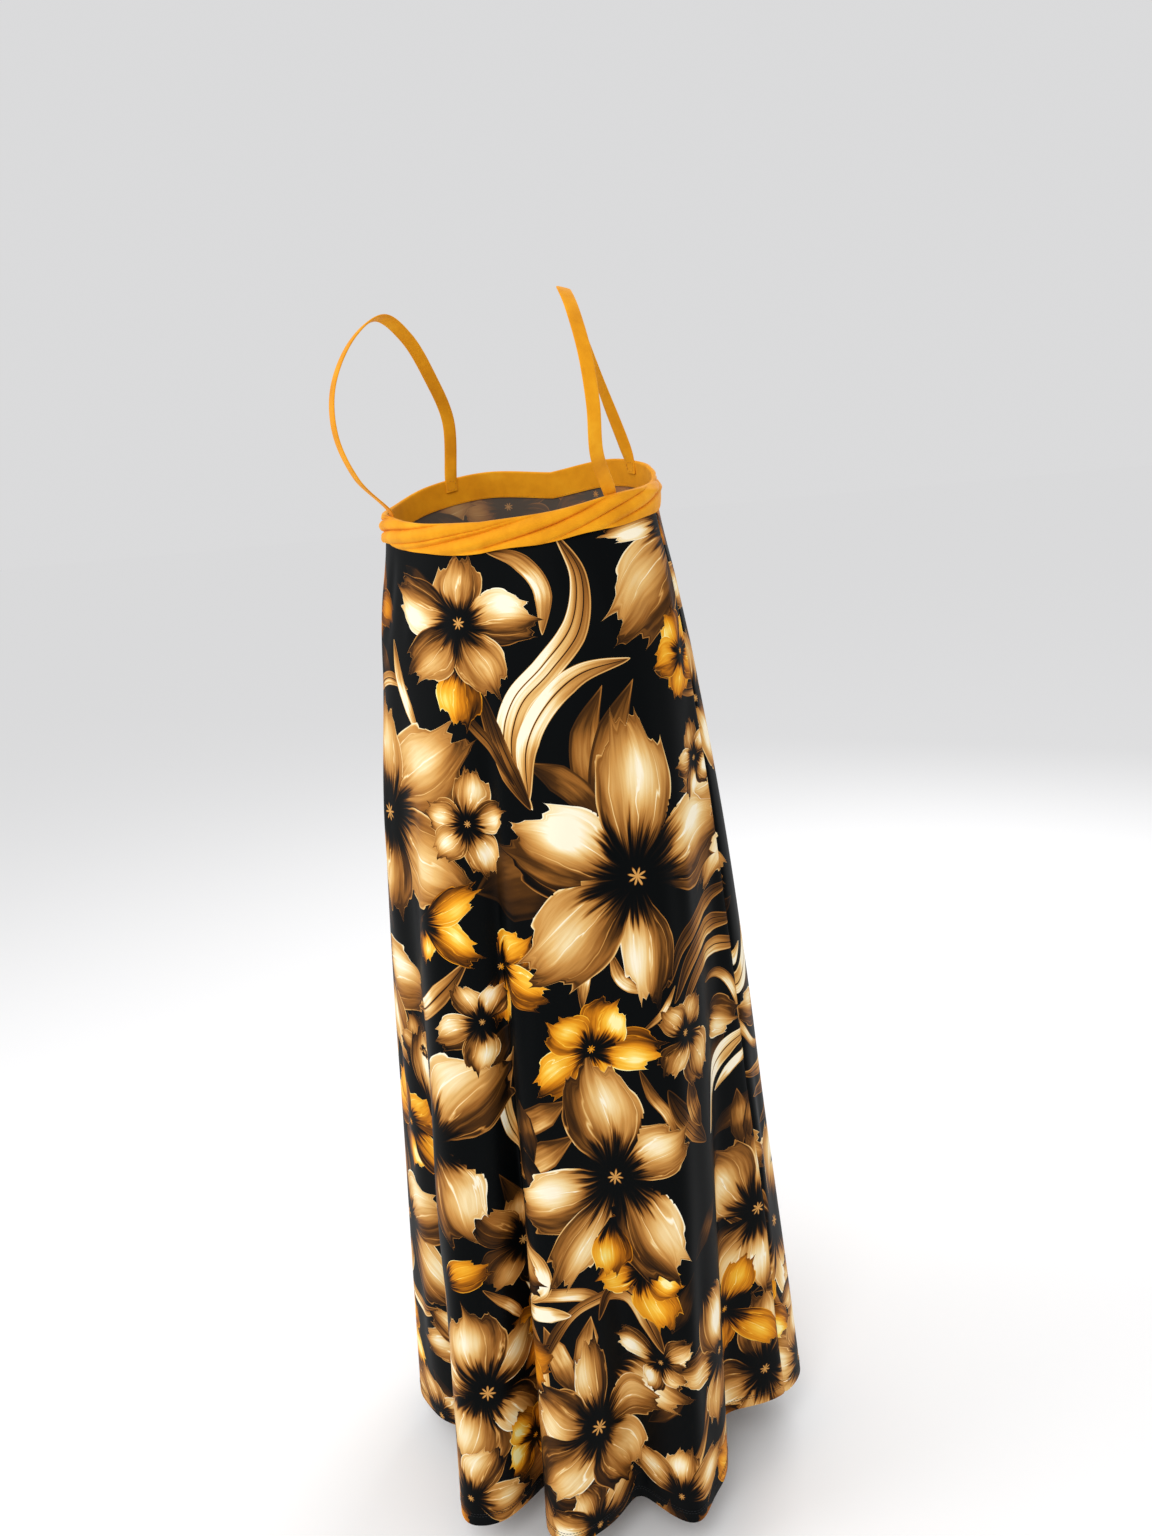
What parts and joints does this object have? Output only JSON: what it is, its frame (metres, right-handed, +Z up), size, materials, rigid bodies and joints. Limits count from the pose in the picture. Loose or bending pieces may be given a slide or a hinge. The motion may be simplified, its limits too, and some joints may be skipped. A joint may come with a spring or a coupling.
{
  "type": "strappy maxi dress",
  "caption": "Full-length A-line cloth dress with a soft top band and narrow shoulder straps, hollow and fluted as when worn.",
  "frame": {"origin": "midway between the undersides of the two shoulder straps, where the wearer's shoulders hold the dress", "axes": "+Z up along the dress, -Y the way the wearer faces, +X the wearer's left"},
  "size_m": [0.5186, 0.514, 1.4101],
  "materials": {
    "printed_cloth": "soft satin knit, floral print on black",
    "mustard_cloth": "matte plain knit"
  },
  "bodies": {
    "root": {"back_panel": "printed_cloth", "front_panel": "printed_cloth", "back_band": "mustard_cloth", "front_band": "mustard_cloth", "strap_left": "mustard_cloth", "strap_right": "mustard_cloth"}
  },
  "joints": []
}
